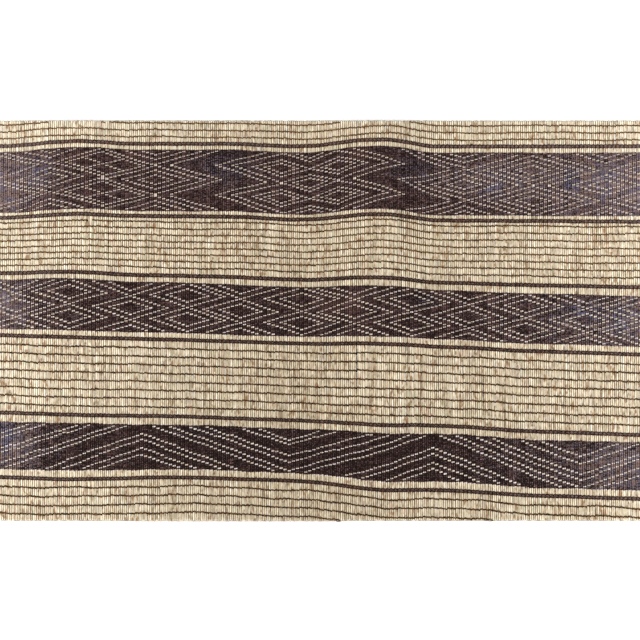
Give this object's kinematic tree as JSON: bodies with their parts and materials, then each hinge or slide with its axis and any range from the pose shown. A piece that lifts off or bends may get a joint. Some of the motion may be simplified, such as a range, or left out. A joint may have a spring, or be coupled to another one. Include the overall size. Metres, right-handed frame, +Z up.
{
  "type": "reed and leather rug",
  "caption": "Cut length of a flat mat of cream reeds held side by side by dark leather lines, with broad leather bands, lying in a few soft ridges.",
  "frame": {"origin": "middle of the surface that the mat lies on, under the centre of its box", "axes": "+X across the reeds, along the leather lines; +Y along the reeds, towards the far cut edge with the three thin lines; +Z up"},
  "size_m": [0.816, 0.5884, 0.023],
  "materials": {
    "reed": "dry straw-coloured reed, satin",
    "band_leather": "dark purple-brown leather rows, satin",
    "border_leather": "dark red-brown leather, satin",
    "thin_leather": "brown leather thong, matt"
  },
  "bodies": {
    "root": {"band_far": "band_leather", "band_middle": "band_leather", "band_near": "band_leather", "border_1": "border_leather", "border_2": "border_leather", "border_3": "border_leather", "border_4": "border_leather", "border_5": "border_leather", "border_6": "border_leather", "line_a1_part_1": "thin_leather", "line_a1_part_2": "thin_leather", "line_a1_part_3": "thin_leather", "line_a2": "thin_leather", "line_a3": "thin_leather", "line_b1": "thin_leather", "line_b2": "thin_leather", "line_b3": "thin_leather", "line_b4": "thin_leather", "line_b5": "thin_leather", "line_b6": "thin_leather", "line_b7": "thin_leather", "line_b8": "thin_leather", "line_c1": "thin_leather", "line_c2": "thin_leather", "line_c3": "thin_leather", "line_c4": "thin_leather", "line_c5": "thin_leather", "line_c6": "thin_leather", "line_c7": "thin_leather", "line_c8": "thin_leather", "line_d1": "thin_leather", "line_d2": "thin_leather", "line_d3": "thin_leather", "line_d4": "thin_leather", "reed_ground": "reed"}
  },
  "joints": []
}
